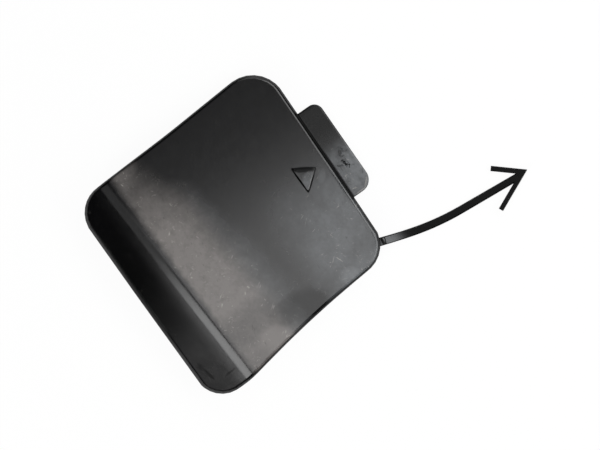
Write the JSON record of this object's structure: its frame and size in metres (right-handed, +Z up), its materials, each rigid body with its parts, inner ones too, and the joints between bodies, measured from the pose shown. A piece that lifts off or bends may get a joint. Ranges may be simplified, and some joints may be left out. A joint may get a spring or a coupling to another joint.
{
  "type": "bumper tow hook cover",
  "caption": "Rounded square bumper cover plate with a turned-down strip, locating tab, press triangle and a moulded retaining strap with an arrow barb.",
  "frame": {"origin": "middle of the outer face, which is the middle of the bumper opening that the cover fills", "axes": "+Z up as the cover lies on its back, +X along the bend, +Y from the turned-down strip to the locating tab"},
  "size_m": [0.0835, 0.1277, 0.0176],
  "materials": {
    "cover_plastic": "moulded satin black, rubbed and lightly scratched"
  },
  "bodies": {
    "root": {"cover": "cover_plastic"}
  },
  "joints": []
}
